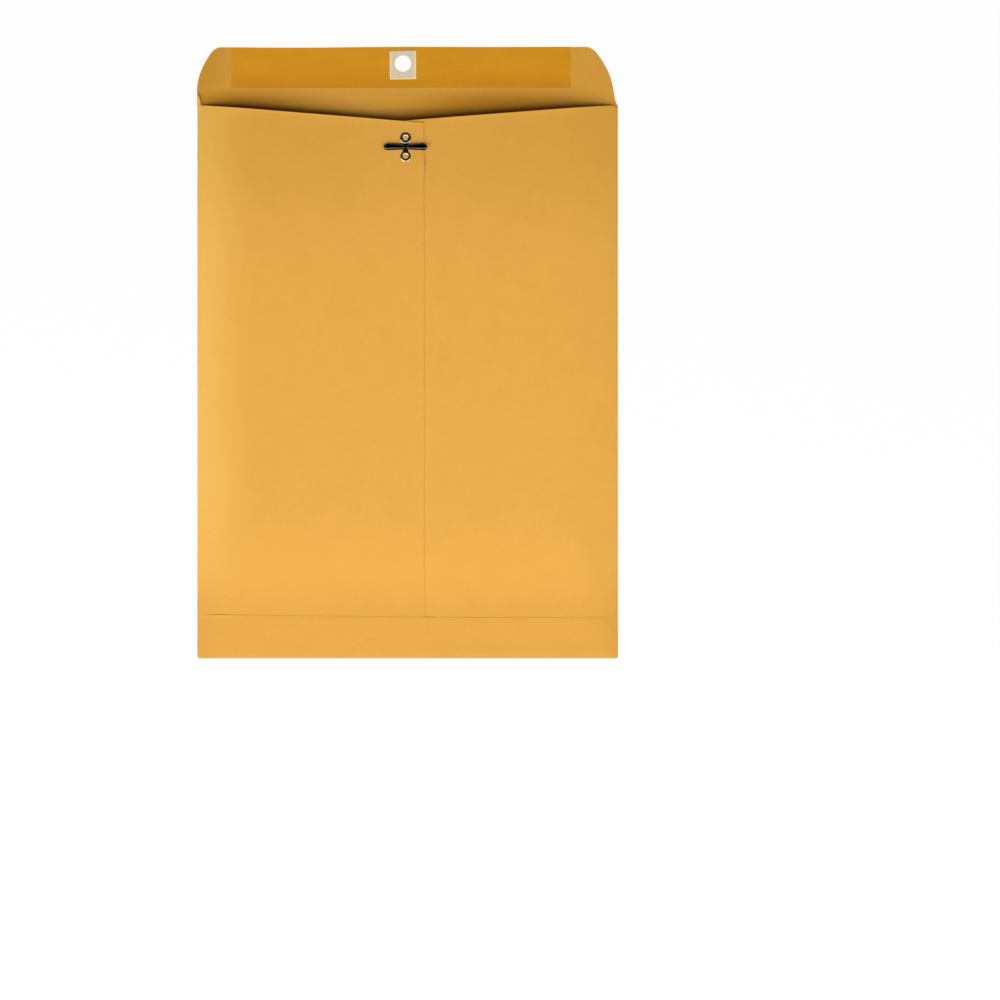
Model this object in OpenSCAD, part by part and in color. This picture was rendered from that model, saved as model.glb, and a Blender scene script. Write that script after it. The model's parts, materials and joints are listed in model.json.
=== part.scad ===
// Clasp envelope: a kraft paper pocket with a gummed flap and a two-prong metal clasp.
// It lies on its front panel with the flap open: +X across, +Y towards the flap, +Z up.
// The origin is on the resting plane, under the middle of the open envelope.

/* [Pocket] */
// Width of the pocket between the side folds
body_w = 241.3; // [180:0.1:320]
// Height of the pocket from the bottom fold to the flap's fold line
body_h = 317.5; // [240:0.1:420]
// Thickness of the paper
paper = 0.2; // [0.15:0.01:0.3]
// Clear height inside the slightly puffed pocket
pocket_gap = 5.2; // [4.8:0.1:9]
// Distance in from a side fold at which the back comes level
side_ramp = 36; // [15:1:50]
// Distance up from the bottom fold at which the back comes level
bottom_ramp = 60; // [30:1:90]

/* [Throat and centre seam] */
// Distance of the centre seam to the right of the middle
seam_x = 10.1; // [4:0.1:20]
// Width of the right back panel that lies hidden under the left one
lap_w = 25; // [20:0.5:40]
// Depth of the left panel's throat edge below the fold line, at the seam
left_dip = 10.6; // [6:0.1:14]
// Depth of the right panel's throat edge below the fold line, at its hidden end
right_dip = 10.3; // [6:0.1:14]
// Thickness of the glue films
glue = 0.1; // [0.06:0.01:0.15]
// Bare margin between a glue film and the edge of the paper over it
glue_margin = 3; // [1.5:0.1:5]

/* [Bottom flap] */
// Height of the bottom flap that folds up over the back panels
bottom_flap_h = 24.5; // [18:0.1:34]
// Width of the slanted corner of the bottom flap
bottom_corner_w = 6; // [3:0.1:10]
// Height of the slanted corner of the bottom flap
bottom_corner_h = 6.4; // [3:0.1:10]

/* [Seal flap] */
// Depth of the seal flap beyond the fold line
flap_depth = 33.6; // [30:0.1:50]
// Inset of the flap's straight sides from the side folds
flap_inset = 1.45; // [1:0.05:4]
// Sideways shift of the flap from the middle of the pocket
flap_shift = -1.45; // [-1.45:0.05:1.45]
// Radius of the flap's large corners
flap_corner_r = 31.3; // [26:0.1:45]
// Height of the flap's straight side below the large corner
flap_side_h = 9; // [6:0.1:14]
// Height of the slanted shoulder at the flap's root
shoulder_h = 4; // [1:0.1:5]
// Running gap between the flap's root and the fold line
fold_gap = 0.3; // [0.2:0.05:0.5]

/* [Gum] */
// Bare length at each end of the flap, beside the gummed strip
gum_margin = 21.8; // [14:0.1:40]
// Height of the gummed strip, down from the flap's outer edge
gum_h = 23.7; // [21:0.1:26]
// Sideways shift of the gummed strip from the middle of the pocket
gum_shift = -3.8; // [-5:0.1:5]
// Thickness of the dried gum
gum_t = 0.06; // [0.04:0.01:0.1]

/* [Hole and patch] */
// Diameter of the hole in the flap
hole_d = 9.4; // [8.4:0.1:11]
// Distance of the hole to the left of the middle
hole_left = 2.7; // [0:0.1:3]
// Distance of the hole's middle from the flap's outer edge
hole_margin = 9.7; // [9.5:0.1:11]
// Width of the patch round the hole
patch_w = 15; // [13:0.1:18]
// Height of the patch round the hole
patch_h = 16.2; // [13:0.1:17]
// Distance of the patch's middle below the hole
patch_drop = 0.9; // [0:0.1:1.2]
// Thickness of the patch
patch_t = 0.1; // [0.08:0.01:0.2]
// Slight turn of the patch, in degrees
patch_turn = 1.2; // [-3:0.1:3]
// Gap between the patch and the gum round it
patch_gap = 0.2; // [0.1:0.05:0.4]

/* [Clasp] */
// Distance of the clasp to the left of the middle
clasp_left = 1.1; // [0:0.1:3]
// Distance of the clasp's middle below that of the hole when the flap is closed
clasp_drop = 0.7; // [0:0.1:1.2]
// Length of the two spread prongs from tip to tip
prong_span = 24.9; // [20:0.1:28]
// Width of a prong at its round tip
prong_w = 3.7; // [3.2:0.05:4.2]
// Width of a prong at its root
prong_waist = 2.9; // [2.4:0.05:3.2]
// Thickness of a prong at its crown
prong_t = 1.1; // [0.9:0.05:1.4]
// Thickness of a prong at its long edges
prong_edge = 0.3; // [0.2:0.05:0.5]
// Distance of a prong's bend line from the middle of the clasp
bend_x = 1; // [0.9:0.05:1.4]
// Length of the rolled bend at a prong's root
bend_l = 2; // [1.6:0.1:2.3]
// Clearance between a prong's bend and the clasp's post
bend_gap = 0.15; // [0.1:0.01:0.2]
// Thickness of the clasp's base plate
plate_t = 0.2; // [0.15:0.05:0.5]
// Width of a claw ring beyond the base plate's round end
ring_overhang = 0.3; // [0.1:0.05:0.5]
// Width of the base plate between its round ends
neck_w = 3.3; // [2.8:0.1:4]
// Width of the folded post that carries the prongs
post_w = 3.2; // [2.8:0.1:3.8]
// Distance between the two claw rings
ring_pitch = 10.5; // [10:0.1:12]
// Diameter of the upper claw ring
upper_ring_d = 6.4; // [5.8:0.1:7]
// Diameter of the lower claw ring
lower_ring_d = 6; // [5.8:0.1:7]
// Height of a claw ring's rounded top
ring_t = 0.3; // [0.25:0.05:0.7]
// Diameter of the opening in a claw ring
ring_bore = 3; // [2.4:0.1:3.4]
// Number of claws under each ring
claw_count = 4; // [3:1:5]
// Width of a claw
claw_w = 1.1; // [0.8:0.1:1.3]
// Thickness of a claw
claw_t = 0.25; // [0.2:0.05:0.35]
// Length of a claw that is bent outwards inside the pocket
claw_foot = 0.9; // [0.5:0.1:1.2]
// Clearance round a claw
claw_gap = 0.1; // [0.05:0.01:0.15]
// Clearance of the closed flap above the claw rings and below the spread prongs
flap_gap = 0.15; // [0.1:0.01:0.3]

/* [Hidden] */
$fn = 48;

// Colours of the pieces
kraft = "#E3A94C";
kraft_inside = "#C8923C";
gum_colour = "#C98B1E";
patch_colour = "#D0C4A8";
glue_colour = "#EADFC0";
metal = "#3A3A3C";

// Main lines of the envelope in plan
half_w = body_w / 2;
flap_w = body_w - 2 * flap_inset;
gum_w = flap_w - 2 * gum_margin;
fold_y = (body_h - flap_depth) / 2;
bottom_y = fold_y - body_h;
mid_y = (fold_y + bottom_y) / 2;
lap_x = seam_x - lap_w;
// The closed flap brings the hole as far below the fold line as it is above it now, over the clasp
hole_reach = flap_depth - hole_margin;
clasp_y = fold_y - hole_reach - clasp_drop;
hole_y = fold_y + hole_reach;

// Levels, from the resting plane up
lap_rise = paper + glue;
right_under = paper + pocket_gap;
left_under = right_under + lap_rise;
left_top = left_under + paper;
plate_top = left_top + plate_t;
ring_top = plate_top + ring_t;
closed_flap_top = ring_top + flap_gap + patch_t + paper;
prong_under = closed_flap_top + flap_gap;
bend_z = prong_under + prong_t / 2;
fold_axis_z = closed_flap_top / 2;
echo(fold_axis = [fold_y, fold_axis_z], bend_z = bend_z, clasp_y = clasp_y);

// Distance of a claw's inner face, and of its outer corners, from the middle of its ring
claw_r = ring_bore / 2;
claw_corner_r = norm([claw_r + claw_t, claw_w / 2]);

// Steps along a ramp and along a flap corner, and degrees between points over a ring's top
ramp_steps = 10;
corner_steps = 12;
ring_step = 20;
// How quickly the paper comes level after a fold
ramp_power = 2;
// Overrun of cutting shapes
over = 1;

// Share of the full height at a share u of the ramp
function rise(u) = 1 - pow(1 - u, ramp_power);

// Line that climbs from a fold: level at the fold, then height above it after the ramp
function ramp(length, level, height) =
    [for (i = [0:ramp_steps]) [length * i / ramp_steps, level + height * rise(i / ramp_steps)]];

// Mirror image of a line across the middle, in reverse order
function mirrored(line) = [for (i = [len(line) - 1:-1:0]) [-line[i][0], line[i][1]]];

// Everything under a back panel whose underside lies at level on the side folds
module below(level, lap, floor_z, spread) {
    side = [for (p = ramp(side_ramp, level, pocket_gap + lap)) [p[0] - half_w, p[1]]];
    end = [for (p = ramp(bottom_ramp, level + lap, pocket_gap)) [p[0] + bottom_y, p[1]]];
    edge_x = half_w + spread;
    side_line = concat([[-edge_x, level]], side, mirrored(side), [[edge_x, level]]);
    end_line = concat(end, [[fold_y + over, level + lap + pocket_gap]]);
    intersection() {
        translate([0, mid_y, 0])
            rotate([90, 0, 0])
                linear_extrude(body_h + 4 * over, center = true)
                    polygon(concat([[-edge_x, floor_z]], side_line, [[edge_x, floor_z]]));
        rotate([90, 0, 90])
            linear_extrude(body_w + 4 * over, center = true)
                polygon(concat([[bottom_y, floor_z]], end_line, [[fold_y + over, floor_z]]));
    }
}

// Block of a given plan outline, taller than the envelope
module plan_block() {
    translate([0, 0, -over])
        linear_extrude(left_top + 4 * paper + 2 * over)
            children();
}

// One sheet of the back with side folds that reach down past the front panel
module back_sheet(lap) {
    difference() {
        below(2 * paper, lap, 0, 0);
        intersection() {
            below(paper, lap, -over, over);
            plan_block()
                translate([0, mid_y])
                    square([body_w - 2 * paper, body_h + 4 * over], center = true);
        }
    }
}

// Copies of a shape at the clasp's two rings
module at_rings() {
    for (side = [1, -1])
        translate([-clasp_left, clasp_y + side * ring_pitch / 2, 0])
            children();
}

// Slits through the paper for the claws of both rings
module claw_slits() {
    slit_w = claw_w + 2 * claw_gap;
    at_rings()
        for (i = [0:claw_count - 1])
            rotate(i * 360 / claw_count)
                translate([claw_r - claw_gap, -slit_w / 2, 0])
                    cube([claw_t + 2 * claw_gap, slit_w, plate_top + over]);
}

// Flat front of the pocket, between the side folds
module front_panel() {
    color(kraft_inside)
        translate([paper - half_w, bottom_y + paper, 0])
            cube([body_w - 2 * paper, body_h - paper, paper]);
}

// Left half of the back, which laps over the right half
module left_back_panel() {
    color(kraft)
        difference() {
            intersection() {
                back_sheet(lap_rise);
                plan_block()
                    polygon([[-half_w, bottom_y + paper], [seam_x, bottom_y + paper],
                        [seam_x, fold_y - left_dip], [-half_w, fold_y]]);
            }
            claw_slits();
        }
}

// Right half of the back, hidden under the left half as far as lap_x
module right_back_panel() {
    color(kraft)
        difference() {
            intersection() {
                back_sheet(0);
                plan_block()
                    polygon([[lap_x, bottom_y + paper], [half_w, bottom_y + paper],
                        [half_w, fold_y], [lap_x, fold_y - right_dip]]);
            }
            claw_slits();
        }
}

// Plan outline of the bottom flap, with slanted upper corners
module bottom_outline() {
    top_y = bottom_y + bottom_flap_h;
    slant_x = half_w - bottom_corner_w;
    slant_y = top_y - bottom_corner_h;
    polygon([[-half_w, bottom_y], [half_w, bottom_y], [half_w, slant_y], [slant_x, top_y],
        [-slant_x, top_y], [-half_w, slant_y]]);
}

// Bottom flap, folded up over both back panels
module bottom_flap() {
    under = 2 * paper + glue;
    color(kraft)
        intersection() {
            difference() {
                below(under + paper, lap_rise, 0, 0);
                intersection() {
                    below(under, lap_rise, -over, over);
                    plan_block()
                        translate([-half_w - over, bottom_y + paper])
                            square([body_w + 2 * over, body_h]);
                }
            }
            plan_block()
                bottom_outline();
        }
}

// Glue film of the centre seam, between the two back panels
module seam_glue() {
    film_w = lap_w - 2 * glue_margin;
    film_y = bottom_y + paper + glue_margin;
    film_top = fold_y - max(left_dip, right_dip) - glue_margin;
    color(glue_colour)
        difference() {
            intersection() {
                below(paper, lap_rise, 0, 0);
                plan_block()
                    translate([lap_x + glue_margin, film_y])
                        square([film_w, film_top - film_y]);
            }
            below(2 * paper, 0, -over, over);
            claw_slits();
        }
}

// Glue film under the bottom flap, on one side of the seam
module bottom_film(from_x, to_x, panel_lap) {
    difference() {
        intersection() {
            below(2 * paper + glue, lap_rise, 0, 0);
            plan_block()
                translate([from_x, bottom_y + glue_margin])
                    square([to_x - from_x, bottom_flap_h - 2 * glue_margin]);
        }
        below(2 * paper, panel_lap, -over, over);
    }
}

// Glue under the bottom flap: one film on each back panel
module bottom_glue() {
    reach = half_w - bottom_corner_w - glue_margin;
    color(glue_colour) {
        bottom_film(-reach, seam_x - glue_margin, lap_rise);
        bottom_film(seam_x + glue_margin, reach, 0);
    }
}

// One side of the flap's outline, from its straight side round to its outer edge
function flap_side(side) =
    let (sweep = asin((flap_depth - flap_side_h) / flap_corner_r),
        centre_x = flap_w / 2 - flap_corner_r)
    [for (i = [0:corner_steps])
        let (a = sweep * i / corner_steps)
        [flap_shift + side * (centre_x + flap_corner_r * cos(a)),
            flap_side_h + flap_corner_r * sin(a)]];

// Plan outline of the flap, with its root on the fold line
module flap_outline() {
    right = flap_side(1);
    left = flap_side(-1);
    root_x = half_w - paper;
    translate([0, fold_y])
        polygon(concat([[root_x, fold_gap], [right[0][0], fold_gap + shoulder_h]], right,
            [for (i = [corner_steps:-1:0]) left[i]],
            [[left[0][0], fold_gap + shoulder_h], [-root_x, fold_gap]]));
}

// Hole through the flap and what lies on it
module flap_hole() {
    translate([-hole_left, hole_y, -over])
        cylinder(d = hole_d, h = paper + patch_t + 2 * over);
}

// Outline of the patch round the hole, grown by a margin
module patch_outline(margin) {
    translate([-hole_left, hole_y - patch_drop])
        rotate(patch_turn)
            square([patch_w + 2 * margin, patch_h + 2 * margin], center = true);
}

// Seal flap, open and lying flat
module seal_flap() {
    color(kraft_inside)
        difference() {
            linear_extrude(paper)
                flap_outline();
            flap_hole();
        }
}

// Dried gum along the flap's outer edge, left bare under the patch
module gum_strip() {
    color(gum_colour)
        translate([0, 0, paper])
            linear_extrude(gum_t)
                difference() {
                    intersection() {
                        translate([gum_shift - gum_w / 2, fold_y + flap_depth - gum_h])
                            square([gum_w, gum_h]);
                        flap_outline();
                    }
                    patch_outline(patch_gap);
                }
}

// Patch that strengthens the hole
module hole_patch() {
    color(patch_colour)
        difference() {
            translate([0, 0, paper])
                linear_extrude(patch_t)
                    patch_outline(0);
            flap_hole();
        }
}

// Base plate of the clasp, with the folded post that carries the prongs
module clasp_base() {
    web_w = 2 * (bend_x - prong_t / 2 - bend_gap);
    color(metal) {
        difference() {
            translate([-clasp_left, clasp_y, left_top])
                linear_extrude(plate_t) {
                    square([neck_w, ring_pitch], center = true);
                    translate([0, ring_pitch / 2])
                        circle(d = upper_ring_d - 2 * ring_overhang);
                    translate([0, -ring_pitch / 2])
                        circle(d = lower_ring_d - 2 * ring_overhang);
                }
            at_rings()
                cylinder(r = claw_corner_r + claw_gap, h = plate_top + over);
        }
        translate([-clasp_left, clasp_y, left_top]) {
            translate([-post_w / 2, -prong_waist / 2, 0])
                cube([post_w, prong_waist, prong_under - bend_gap - left_top]);
            translate([-web_w / 2, -prong_waist / 2, 0])
                cube([web_w, prong_waist, prong_under + prong_t - left_top]);
        }
    }
}

// Rounded ring on the base plate, with claws that pierce the paper and are bent outwards
module claw_ring(ring_d) {
    half_section = (ring_d / 2 - claw_r) / 2;
    rotate_extrude()
        polygon([for (a = [0:ring_step:180])
            [claw_r + half_section + half_section * cos(a), plate_top + ring_t * sin(a)]]);
    for (i = [0:claw_count - 1])
        rotate(i * 360 / claw_count)
            translate([claw_r, -claw_w / 2, right_under - claw_t]) {
                cube([claw_t, claw_w, plate_top - right_under + claw_t]);
                cube([claw_t + claw_foot, claw_w, claw_t]);
            }
}

// Claw ring nearer the throat
module upper_ring() {
    color(metal)
        translate([-clasp_left, clasp_y + ring_pitch / 2, 0])
            claw_ring(upper_ring_d);
}

// Claw ring below the prongs
module lower_ring() {
    color(metal)
        translate([-clasp_left, clasp_y - ring_pitch / 2, 0])
            claw_ring(lower_ring_d);
}

// One spread prong pointing along +X, with its bend line at the origin
module prong() {
    tip_x = prong_span / 2 - bend_x - prong_w / 2;
    crown = prong_t - prong_edge;
    crown_r = (pow(prong_w / 2, 2) + pow(crown, 2)) / (2 * crown);
    intersection() {
        translate([0, 0, -prong_t / 2])
            linear_extrude(prong_t) {
                polygon([[0, -prong_waist / 2], [tip_x, -prong_w / 2], [tip_x, prong_w / 2],
                    [0, prong_waist / 2]]);
                translate([tip_x, 0])
                    circle(d = prong_w);
            }
        rotate([90, 0, 90])
            linear_extrude(prong_span / 2)
                intersection() {
                    translate([0, prong_t / 2 - crown_r])
                        circle(r = crown_r);
                    square([2 * prong_w, prong_t], center = true);
                }
    }
    rotate([90, 0, 0])
        cylinder(d = prong_t, h = bend_l, center = true);
}

// Prong that spreads to the left
module left_prong() {
    color(metal)
        translate([-clasp_left - bend_x, clasp_y, bend_z])
            mirror([1, 0, 0])
                prong();
}

// Prong that spreads to the right
module right_prong() {
    color(metal)
        translate([bend_x - clasp_left, clasp_y, bend_z])
            prong();
}

front_panel();
left_back_panel();
right_back_panel();
bottom_flap();
seam_glue();
bottom_glue();
seal_flap();
gum_strip();
hole_patch();
clasp_base();
upper_ring();
lower_ring();
left_prong();
right_prong();
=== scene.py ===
# %% [markdown]
# # Clasp envelope
# A kraft paper envelope lies on its front with the flap open. The paper is one folded blank: a front, two
# back panels that meet in a centre seam, a bottom flap and a seal flap with dried gum. A metal clasp on the
# back goes through the patched hole when the flap is closed. The CAD frame gives each piece its place and
# its joint. This script gives the pieces soft shapes and real finishes, and lights them from the lower left.

# %% Load the frame
import json
import math

import bmesh
import bpy
import numpy as np
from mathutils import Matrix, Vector


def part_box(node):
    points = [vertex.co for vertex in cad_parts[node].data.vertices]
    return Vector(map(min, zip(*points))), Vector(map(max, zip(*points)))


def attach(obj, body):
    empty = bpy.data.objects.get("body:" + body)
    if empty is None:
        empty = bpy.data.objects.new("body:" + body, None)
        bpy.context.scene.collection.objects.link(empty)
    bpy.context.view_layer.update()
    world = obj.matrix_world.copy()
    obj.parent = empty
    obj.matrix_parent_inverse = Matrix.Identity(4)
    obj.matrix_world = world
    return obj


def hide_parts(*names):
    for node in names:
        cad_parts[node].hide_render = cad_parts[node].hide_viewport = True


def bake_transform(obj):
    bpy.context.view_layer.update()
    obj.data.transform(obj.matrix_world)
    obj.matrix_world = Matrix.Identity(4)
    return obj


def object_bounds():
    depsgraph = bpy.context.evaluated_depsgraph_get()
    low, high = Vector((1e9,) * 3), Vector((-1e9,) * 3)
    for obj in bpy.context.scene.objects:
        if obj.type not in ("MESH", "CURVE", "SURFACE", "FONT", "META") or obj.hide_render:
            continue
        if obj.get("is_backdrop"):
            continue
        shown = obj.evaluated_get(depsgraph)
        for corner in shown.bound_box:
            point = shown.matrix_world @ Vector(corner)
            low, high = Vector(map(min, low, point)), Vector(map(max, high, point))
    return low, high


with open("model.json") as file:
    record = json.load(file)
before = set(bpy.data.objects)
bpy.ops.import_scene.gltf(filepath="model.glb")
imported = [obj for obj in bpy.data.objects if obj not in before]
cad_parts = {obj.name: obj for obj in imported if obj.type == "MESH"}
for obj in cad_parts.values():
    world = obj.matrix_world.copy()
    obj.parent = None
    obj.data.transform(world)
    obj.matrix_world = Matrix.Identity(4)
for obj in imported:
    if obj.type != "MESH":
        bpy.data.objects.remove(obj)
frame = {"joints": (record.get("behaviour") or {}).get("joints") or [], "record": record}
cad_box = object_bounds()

# %% [markdown]
# ## Sizes of the envelope
# All main lines can be read from the boxes of the CAD nodes, so nothing is measured twice: the left panel
# runs from the left fold to the centre seam, the front panel ends at the fold line, and so on. What a box
# can't tell, such as how far the back rises next to a fold, is written here once, in millimetres.

# %% Sizes
MM = 0.001
left_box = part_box("left_back_panel")
right_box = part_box("right_back_panel")
HALF_W = -left_box[0].x
SEAM_X = left_box[1].x
LAP_X = right_box[0].x
FOLD_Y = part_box("front_panel")[1].y
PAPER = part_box("front_panel")[1].z
BOTTOM_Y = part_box("bottom_flap")[0].y
FLAP_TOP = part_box("seal_flap")[1].y
LEFT_TOP = left_box[1].z
LAP_RISE = LEFT_TOP - right_box[1].z
GLUE = LAP_RISE - PAPER
POCKET_GAP = right_box[1].z - 2 * PAPER
SIDE_RAMP = 36 * MM
BOTTOM_RAMP = 90 * MM
LEFT_DIP = 10.6 * MM
RIGHT_DIP = 10.3 * MM
mounts = {m["name"]: m for m in frame["record"]["mounts"]}
HOLE_AT = Vector(mounts["flap_hole"]["pos_m"])
HOLE_R = mounts["flap_hole"]["dims"]["r_mm"] * MM
joints = {j["name"]: j for j in frame["joints"]}
print(f"pocket {2000 * HALF_W:.1f} x {1000 * (FOLD_Y - BOTTOM_Y):.1f} mm, puffed {1000 * POCKET_GAP:.1f} mm")

# %% [markdown]
# ## Node trees as expressions
# A material is a graph of nodes. It could be wired by hand, one link at a time, but sums are easier to read
# as sums. This class wraps one socket. Python's operators on it add Math nodes, and its method `node` adds
# any other node: first its settings, then the values or links of its sockets.

# %% Wire class
class Wire:
    """One output socket of a node tree."""

    def __init__(self, tree, socket=None):
        self.tree = tree
        self.socket = socket

    def node(self, kind, settings=None, sockets=None, output=0):
        """Adds a node of that type and wraps one of its outputs."""
        made = self.tree.nodes.new(kind)
        for name, value in (settings or {}).items():
            setattr(made, name, value)
        for key, value in (sockets or {}).items():
            wires = value if isinstance(value, list) else [value]
            for wire in wires:
                if isinstance(wire, Wire):
                    self.tree.links.new(wire.socket, made.inputs[key])
                else:
                    made.inputs[key].default_value = wire
        return Wire(self.tree, made.outputs[output] if made.outputs else None)

    def math(self, operation, *values, clamp=False):
        """A Math node on values."""
        settings = {"operation": operation, "use_clamp": clamp}
        return self.node("ShaderNodeMath", settings, dict(enumerate(values)))

    def mix(self, first, second, blend="MIX"):
        """A colour between two colours, with this value as the share of the second."""
        settings = {"data_type": "RGBA", "blend_type": blend}
        return self.node("ShaderNodeMix", settings, {0: self, 6: first, 7: second}, output=2)

    def between(self, low, high):
        """A smooth step: 0 where this value is below low, 1 where it is above high."""
        sockets = {0: self, 1: low, 2: high, 3: 0.0, 4: 1.0}
        return self.node("ShaderNodeMapRange", {"interpolation_type": "SMOOTHSTEP"}, sockets)

    def clamped(self):
        """This value, kept between 0 and 1."""
        return self.math("ADD", self, 0.0, clamp=True)

    def part(self, axis):
        """The x, y or z of this vector, for axis 0, 1 or 2."""
        return self.node("ShaderNodeSeparateXYZ", {}, {0: self}, output=axis)

    def vector(self, x=0.0, y=0.0, z=0.0):
        """A vector from three values."""
        return self.node("ShaderNodeCombineXYZ", {}, {0: x, 1: y, 2: z})

    def __add__(self, other):
        return self.math("ADD", self, other)

    def __sub__(self, other):
        return self.math("SUBTRACT", self, other)

    def __rsub__(self, other):
        return self.math("SUBTRACT", other, self)

    def __mul__(self, other):
        return self.math("MULTIPLY", self, other)

    def __truediv__(self, other):
        return self.math("DIVIDE", self, other)

    def __pow__(self, other):
        return self.math("POWER", self, other)

    __radd__ = __add__
    __rmul__ = __mul__


print("Wire ready")

# %% Start and end of a material
def new_material(name):
    """An empty material and a wire to start its tree with."""
    material = bpy.data.materials.new(name)
    material.use_nodes = True
    material.node_tree.nodes.clear()
    return material, Wire(material.node_tree)


def finish_material(start, constants, colour, roughness, normal=None):
    """Ends a tree in one shader: constants on its own sockets, what varies through links."""
    sockets = dict(constants)
    sockets["Base Color"] = colour
    sockets["Roughness"] = roughness
    if normal is not None:
        sockets["Normal"] = normal
    shader = start.node("ShaderNodeBsdfPrincipled", {}, sockets)
    start.node("ShaderNodeOutputMaterial", {}, {"Surface": shader})


print("material helpers ready")

# %% [markdown]
# ## Kraft paper
# Kraft is unbleached pulp: golden brown, matt, with a cloudy look-through, fine fibres that mostly run along
# the sheet and a few dark specks. An image could show that, but noise at the right sizes does too and works
# at any distance. The pattern reads a UV map in metres that lies flat on the blank, so that it stays on the
# paper when the flap bends. Each kraft has two pairs of tones. On the outside the second pair is painted
# sheen, paler along the left fold. The inside is painted darker than the outside, partly a duller inner face
# and partly painted shade, and its second pair is painted shade along the score and in the throat. The
# outside is also painted darker at the mouth and at the bottom, as painted shade, less so round the clasp.
# The cut edges are paler, since they show fresh fibres.

# %% Paper patterns
PLAN = "plan"


def paper_patterns(start):
    """The patterns of a paper sheet: clouds, pulp grain, fibres along the sheet and specks."""
    plan = start.node("ShaderNodeUVMap", {"uv_map": PLAN})
    noise = "ShaderNodeTexNoise"
    clouds = start.node(noise, {}, {"Vector": plan, "Scale": 70.0, "Detail": 5.0, "Roughness": 0.6})
    grain = start.node(noise, {}, {"Vector": plan, "Scale": 620.0, "Detail": 4.0, "Roughness": 0.65})
    long_way = start.node("ShaderNodeMapping", {}, {"Vector": plan, "Scale": (1800.0, 150.0, 1.0)})
    fibres = start.node(noise, {}, {"Vector": long_way, "Scale": 1.0, "Detail": 3.0, "Distortion": 0.6})
    cross_way = start.node("ShaderNodeMapping", {}, {"Vector": plan, "Scale": (170.0, 1500.0, 1.0)})
    cross = start.node(noise, {}, {"Vector": cross_way, "Scale": 1.0, "Detail": 3.0, "Distortion": 0.8})
    spots = start.node("ShaderNodeTexVoronoi", {}, {"Vector": plan, "Scale": 150.0, "Randomness": 1.0})
    specks = 1 - spots.between(0.03, 0.09)
    return clouds, grain, fibres, cross, specks


print("paper patterns read the UV map", PLAN)

# %% Kraft material
# Painted shade: the shares of its colour that the outside keeps where it is painted darker.
PAINTED_SHADE_TONE = (0.874, 0.85, 0.715, 1)


def kraft(name, pale, dark, speck, other, share, painted_shade=None, gloss=0.22):
    """Kraft between a pale and a dark tone, with a share of another pair of tones that depends on the place.

    Where painted_shade is given, it is the share of the darker tone of painted shade, multiplied in.
    """
    material, start = new_material(name)
    clouds, grain, fibres, cross, specks = paper_patterns(start)
    tone = 0.5 + (clouds - 0.5) * 0.6 + (grain - 0.5) * 0.5 + (fibres - 0.5) * 0.4 + (cross - 0.5) * 0.4
    tone = tone.clamped()
    plan = start.node("ShaderNodeUVMap", {"uv_map": PLAN})
    x, y = plan.part(0), plan.part(1)
    # The second pair of tones is painted sheen on the outside and painted shade on the inside.
    colour = share(x, y).mix(tone.mix(pale, dark), tone.mix(*other))
    # Painted shade at the mouth and the bottom, multiplied into the colour.
    if painted_shade:
        colour = painted_shade(x, y).mix(colour, PAINTED_SHADE_TONE, "MULTIPLY")
    colour = (specks * clouds * 0.3).mix(colour, speck)
    roughness = 0.52 + (grain - 0.5) * 0.16 + (clouds - 0.5) * 0.1
    height = grain * 0.5 + fibres * 0.35 + cross * 0.25
    bump = start.node("ShaderNodeBump", {}, {"Strength": 0.18, "Distance": 0.00006, "Height": height})
    finish_material(start, {"Specular IOR Level": gloss}, colour, roughness, bump)
    return material


# The painted shade keeps these shares of the colour.
print("held paper keeps these shares of its colour:", PAINTED_SHADE_TONE[:3])

# %% Where kraft has painted sheen and painted shade
PAINTED_SHEEN_W = 34 * MM
PAINTED_SHEEN_SHARE = 0.48
PAINTED_SHADE_WAVE = 155 * MM


def painted_sheen_near_left_fold(x, y):
    """Share of painted sheen: half at the left fold, fading a few centimetres in from it and towards the
    bottom.
    """
    at_fold = 1 - x.between(-HALF_W, PAINTED_SHEEN_W - HALF_W)
    return at_fold * y.between(BOTTOM_Y + 10 * MM, BOTTOM_Y + 110 * MM) * PAINTED_SHEEN_SHARE


def painted_shade_near_score(x, y):
    """Share of painted shade that comes and goes along the mouth, is large in the throat and fades up the
    flap.
    """
    wave = x.math("COSINE", (x + 25 * MM) * (2 * math.pi / PAINTED_SHADE_WAVE))
    along = (1 - y.between(FOLD_Y + 1 * MM, FOLD_Y + 13 * MM)) * (0.51 - wave * 0.465)
    in_throat = x.between(-25 * MM, 5 * MM) - x.between(55 * MM, 80 * MM)
    along = along + (1 - y.between(FOLD_Y - 5 * MM, FOLD_Y + 1 * MM)) * in_throat * 0.6
    at_end = (1 - x.between(-HALF_W, -90 * MM)) * y.between(FOLD_Y, FOLD_Y + 15 * MM) * 0.44
    return along.math("MAXIMUM", along, at_end)


def painted_shade_at_ends(x, y):
    """Share of painted shade that is large at the mouth and full at the bottom.

    It is none between them, and smaller round the clasp.
    """
    # Less painted shade round the clasp.
    lighter = x.between(-45 * MM, -5 * MM) - x.between(20 * MM, 60 * MM)
    at_mouth = y.between(FOLD_Y - 90 * MM, FOLD_Y - 15 * MM) * (0.8 - lighter * 0.28)
    at_bottom = 1 - y.between(BOTTOM_Y + 15 * MM, BOTTOM_Y + 55 * MM)
    return at_mouth.math("MAXIMUM", at_mouth, at_bottom)


# Width of the painted sheen along the left fold.
print(f"worn for {1000 * PAINTED_SHEEN_W:.0f} mm from the left fold")

# %% Kraft tones
PALE = (0.82, 0.421, 0.070, 1)
DARK = (0.73, 0.356, 0.0525, 1)
SPECK = (0.40, 0.17, 0.03, 1)
# Painted sheen: paler tones painted along the left fold.
PAINTED_SHEEN = ((0.955, 0.58, 0.134, 1), (0.905, 0.53, 0.114, 1))
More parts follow.
